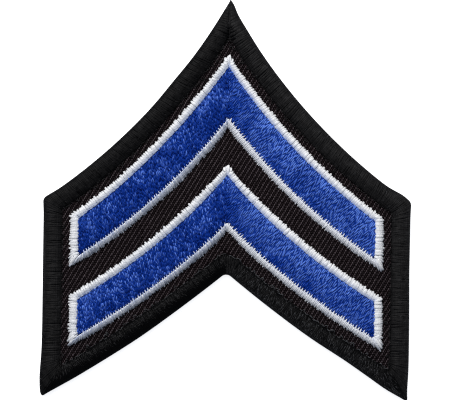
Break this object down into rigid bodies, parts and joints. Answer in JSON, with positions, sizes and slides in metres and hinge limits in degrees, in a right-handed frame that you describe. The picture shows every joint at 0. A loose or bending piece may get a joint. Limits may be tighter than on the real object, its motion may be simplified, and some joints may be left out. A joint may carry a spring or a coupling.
{
  "type": "rank chevron patch",
  "caption": "Flat embroidered sleeve patch of an arrowhead outline, with outlined chevrons on a twill ground inside a rolled border; sewn to a garment by its border.",
  "frame": {"origin": "on the surface that the patch lies on, under the middle of its outline", "axes": "+Z out of the embroidered face, +Y towards the apex, +X to the right as seen from the face"},
  "size_m": [0.0762, 0.082, 0.0024],
  "materials": {
    "twill_black": "matte black twill weave",
    "thread_black": "black overlock thread with a soft sheen",
    "thread_blue": "royal blue embroidery thread with a sheen",
    "thread_white": "white satin-stitch thread with a sheen"
  },
  "bodies": {
    "root": {"ground": "twill_black", "border": "thread_black", "upper_fill": "thread_blue", "lower_fill": "thread_blue", "upper_outline": "thread_white", "lower_outline": "thread_white"}
  },
  "joints": []
}
